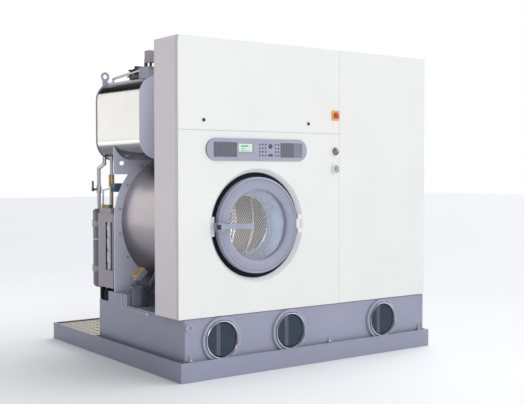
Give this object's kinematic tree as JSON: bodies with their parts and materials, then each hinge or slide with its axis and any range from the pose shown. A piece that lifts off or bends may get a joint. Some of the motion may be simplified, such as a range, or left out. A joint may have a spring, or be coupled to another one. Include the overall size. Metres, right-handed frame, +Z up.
{
  "type": "dry cleaning machine",
  "caption": "Dry cleaning machine: white front with round loading door and controls, solvent tank with sight glasses on a drip tray, open service side with drum, air box and pipework.",
  "frame": {"origin": "middle of the overall footprint, on the floor under the drip tray", "axes": "+X to the viewer's right along the front, +Y from the front to the back, +Z up"},
  "size_m": [2.09, 1.913, 2.08],
  "materials": {
    "tray_paint": "satin grey-blue paint on folded steel sheet",
    "tank_paint": "satin grey-blue paint on welded plate",
    "grey_paint": "satin light grey-blue paint",
    "white_paint": "smooth white powder coat",
    "dark_paint": "satin dark grey paint",
    "stainless": "brushed stainless sheet",
    "bright": "polished bright rings",
    "zinc": "bright zinc plated steel",
    "cast": "machined grey casting",
    "black_rubber": "black rubber",
    "black_plastic": "black moulded plastic",
    "key_plastic": "grey membrane keys",
    "window_plastic": "grey printed window",
    "red_plastic": "red moulded plastic",
    "yellow_plastic": "yellow moulded plastic",
    "clear_glass": "clear toughened glass",
    "copper_pipe": "copper and brass",
    "lead_sheath": "light grey lead sheath"
  },
  "bodies": {
    "machine": {"drip_tray": "tray_paint", "walkway_grating": "zinc", "solvent_tank": "tank_paint", "sight_flanges": "grey_paint", "sight_glasses": "clear_glass", "level_ladders": "bright", "hex_bolts": "zinc", "cabinet_frame": "dark_paint", "lower_left_panel": "white_paint", "right_panel": "white_paint", "side_panels": "white_paint", "recess_ring": "white_paint", "flap_fittings": "zinc", "control_bezel": "grey_paint", "membrane_keys": "key_plastic", "display_windows": "window_plastic", "stop_plate": "yellow_plastic", "dial_bezels": "bright", "door_gasket": "black_rubber", "door_fittings": "zinc", "loading_neck": "stainless", "drum_housing": "stainless", "frame_plate": "grey_paint", "rear_wall": "grey_paint", "bearing_housing": "cast", "drive_belt": "black_rubber", "drive_motor": "dark_paint", "air_box": "stainless", "fan_motor": "dark_paint", "air_coils": "copper_pipe", "interlock_switch": "yellow_plastic", "interlock_leads": "lead_sheath", "button_trap": "grey_paint", "cooler_vessel": "dark_paint", "cooler_frame": "grey_paint", "solvent_pump": "black_plastic", "pipework": "zinc", "valve_bodies": "copper_pipe", "still_vessel": "stainless", "filter_vessel": "stainless", "switch_box": "white_paint"},
    "door": {"door_ring": "grey_paint", "door_glass": "clear_glass", "clamp_ring": "dark_paint"},
    "handle": {"door_handle": "grey_paint"},
    "cage": {"cage_shell": "stainless", "drum_shaft": "zinc", "cage_pulley": "cast"},
    "motor_rotor": {"motor_pulley": "cast"},
    "fan": {"fan_impeller": "zinc"},
    "flap": {"service_flap": "white_paint"},
    "lock_left": {"flap_lock_left": "black_plastic"},
    "lock_right": {"flap_lock_right": "black_plastic"},
    "stop_key": {"stop_button": "red_plastic"},
    "start_key": {"start_button": "key_plastic"},
    "selector": {"selector_knob": "bright"},
    "needle": {"gauge_needle": "black_plastic"},
    "trap_lid": {"trap_cover": "grey_paint"},
    "lever": {"valve_lever": "black_plastic"},
    "still_lid": {"still_door": "grey_paint"}
  },
  "joints": [
    {"name": "door_swing", "type": "hinge", "parent": "machine", "child": "door", "pos_m": [-0.132, -0.9055, 0.928], "axis": [0, 0, 1], "range_deg": [0, 130]},
    {"name": "handle_pull", "type": "hinge", "parent": "door", "child": "handle", "pos_m": [-0.77, -0.9495, 0.928], "axis": [0, 0, -1], "range_deg": [0, 35], "stiffness_Nm_per_rad": 1.5},
    {"name": "cage_spin", "type": "hinge", "parent": "machine", "child": "cage", "pos_m": [-0.458, 0, 0.928], "axis": [0, 1, 0], "continuous": true},
    {"name": "motor_spin", "type": "hinge", "parent": "machine", "child": "motor_rotor", "pos_m": [0.23, 0, 0.502], "axis": [0, 1, 0], "continuous": true},
    {"name": "fan_spin", "type": "hinge", "parent": "machine", "child": "fan", "pos_m": [-0.6625, 0, 1.625], "axis": [0, 1, 0], "continuous": true},
    {"name": "flap_swing", "type": "hinge", "parent": "machine", "child": "flap", "pos_m": [-0.412, -0.8995, 2.068], "axis": [-1, 0, 0], "range_deg": [0, 80]},
    {"name": "lock_left_turn", "type": "hinge", "parent": "flap", "child": "lock_left", "pos_m": [-0.861, -0.9115, 1.58], "axis": [0, -1, 0], "range_deg": [0, 90]},
    {"name": "lock_right_turn", "type": "hinge", "parent": "flap", "child": "lock_right", "pos_m": [-0.051, -0.9115, 1.58], "axis": [0, -1, 0], "range_deg": [0, 90]},
    {"name": "stop_press", "type": "slide", "parent": "machine", "child": "stop_key", "axis": [0, 1, 0], "range_m": [0, 0.006], "stiffness_N_per_m": 1200, "springref_m": -0.001},
    {"name": "start_press", "type": "slide", "parent": "machine", "child": "start_key", "axis": [0, 1, 0], "range_m": [0, 0.003], "stiffness_N_per_m": 600, "springref_m": -0.001},
    {"name": "selector_turn", "type": "hinge", "parent": "machine", "child": "selector", "pos_m": [0.181, -0.9115, 1.402], "axis": [0, 1, 0], "range_deg": [0, 90]},
    {"name": "gauge_needle_turn", "type": "hinge", "parent": "machine", "child": "needle", "pos_m": [0.181, -0.9115, 1.283], "axis": [0, 1, 0], "range_deg": [0, 240]},
    {"name": "trap_lid_swing", "type": "hinge", "parent": "machine", "child": "trap_lid", "pos_m": [-0.932, -0.2825, 0.5082], "axis": [1, 0, 0], "range_deg": [0, 100]},
    {"name": "valve_lever_turn", "type": "hinge", "parent": "machine", "child": "lever", "pos_m": [-0.967, 0.3768, 1.143], "axis": [1, 0, 0], "range_deg": [0, 90]},
    {"name": "still_door_swing", "type": "hinge", "parent": "machine", "child": "still_lid", "pos_m": [0.42, 0.8845, 0.45], "axis": [0, 0, -1], "range_deg": [0, 110]}
  ],
  "couplings": [
    {"joint": "motor_spin", "follows": "cage_spin", "ratio": 6.2222}
  ]
}
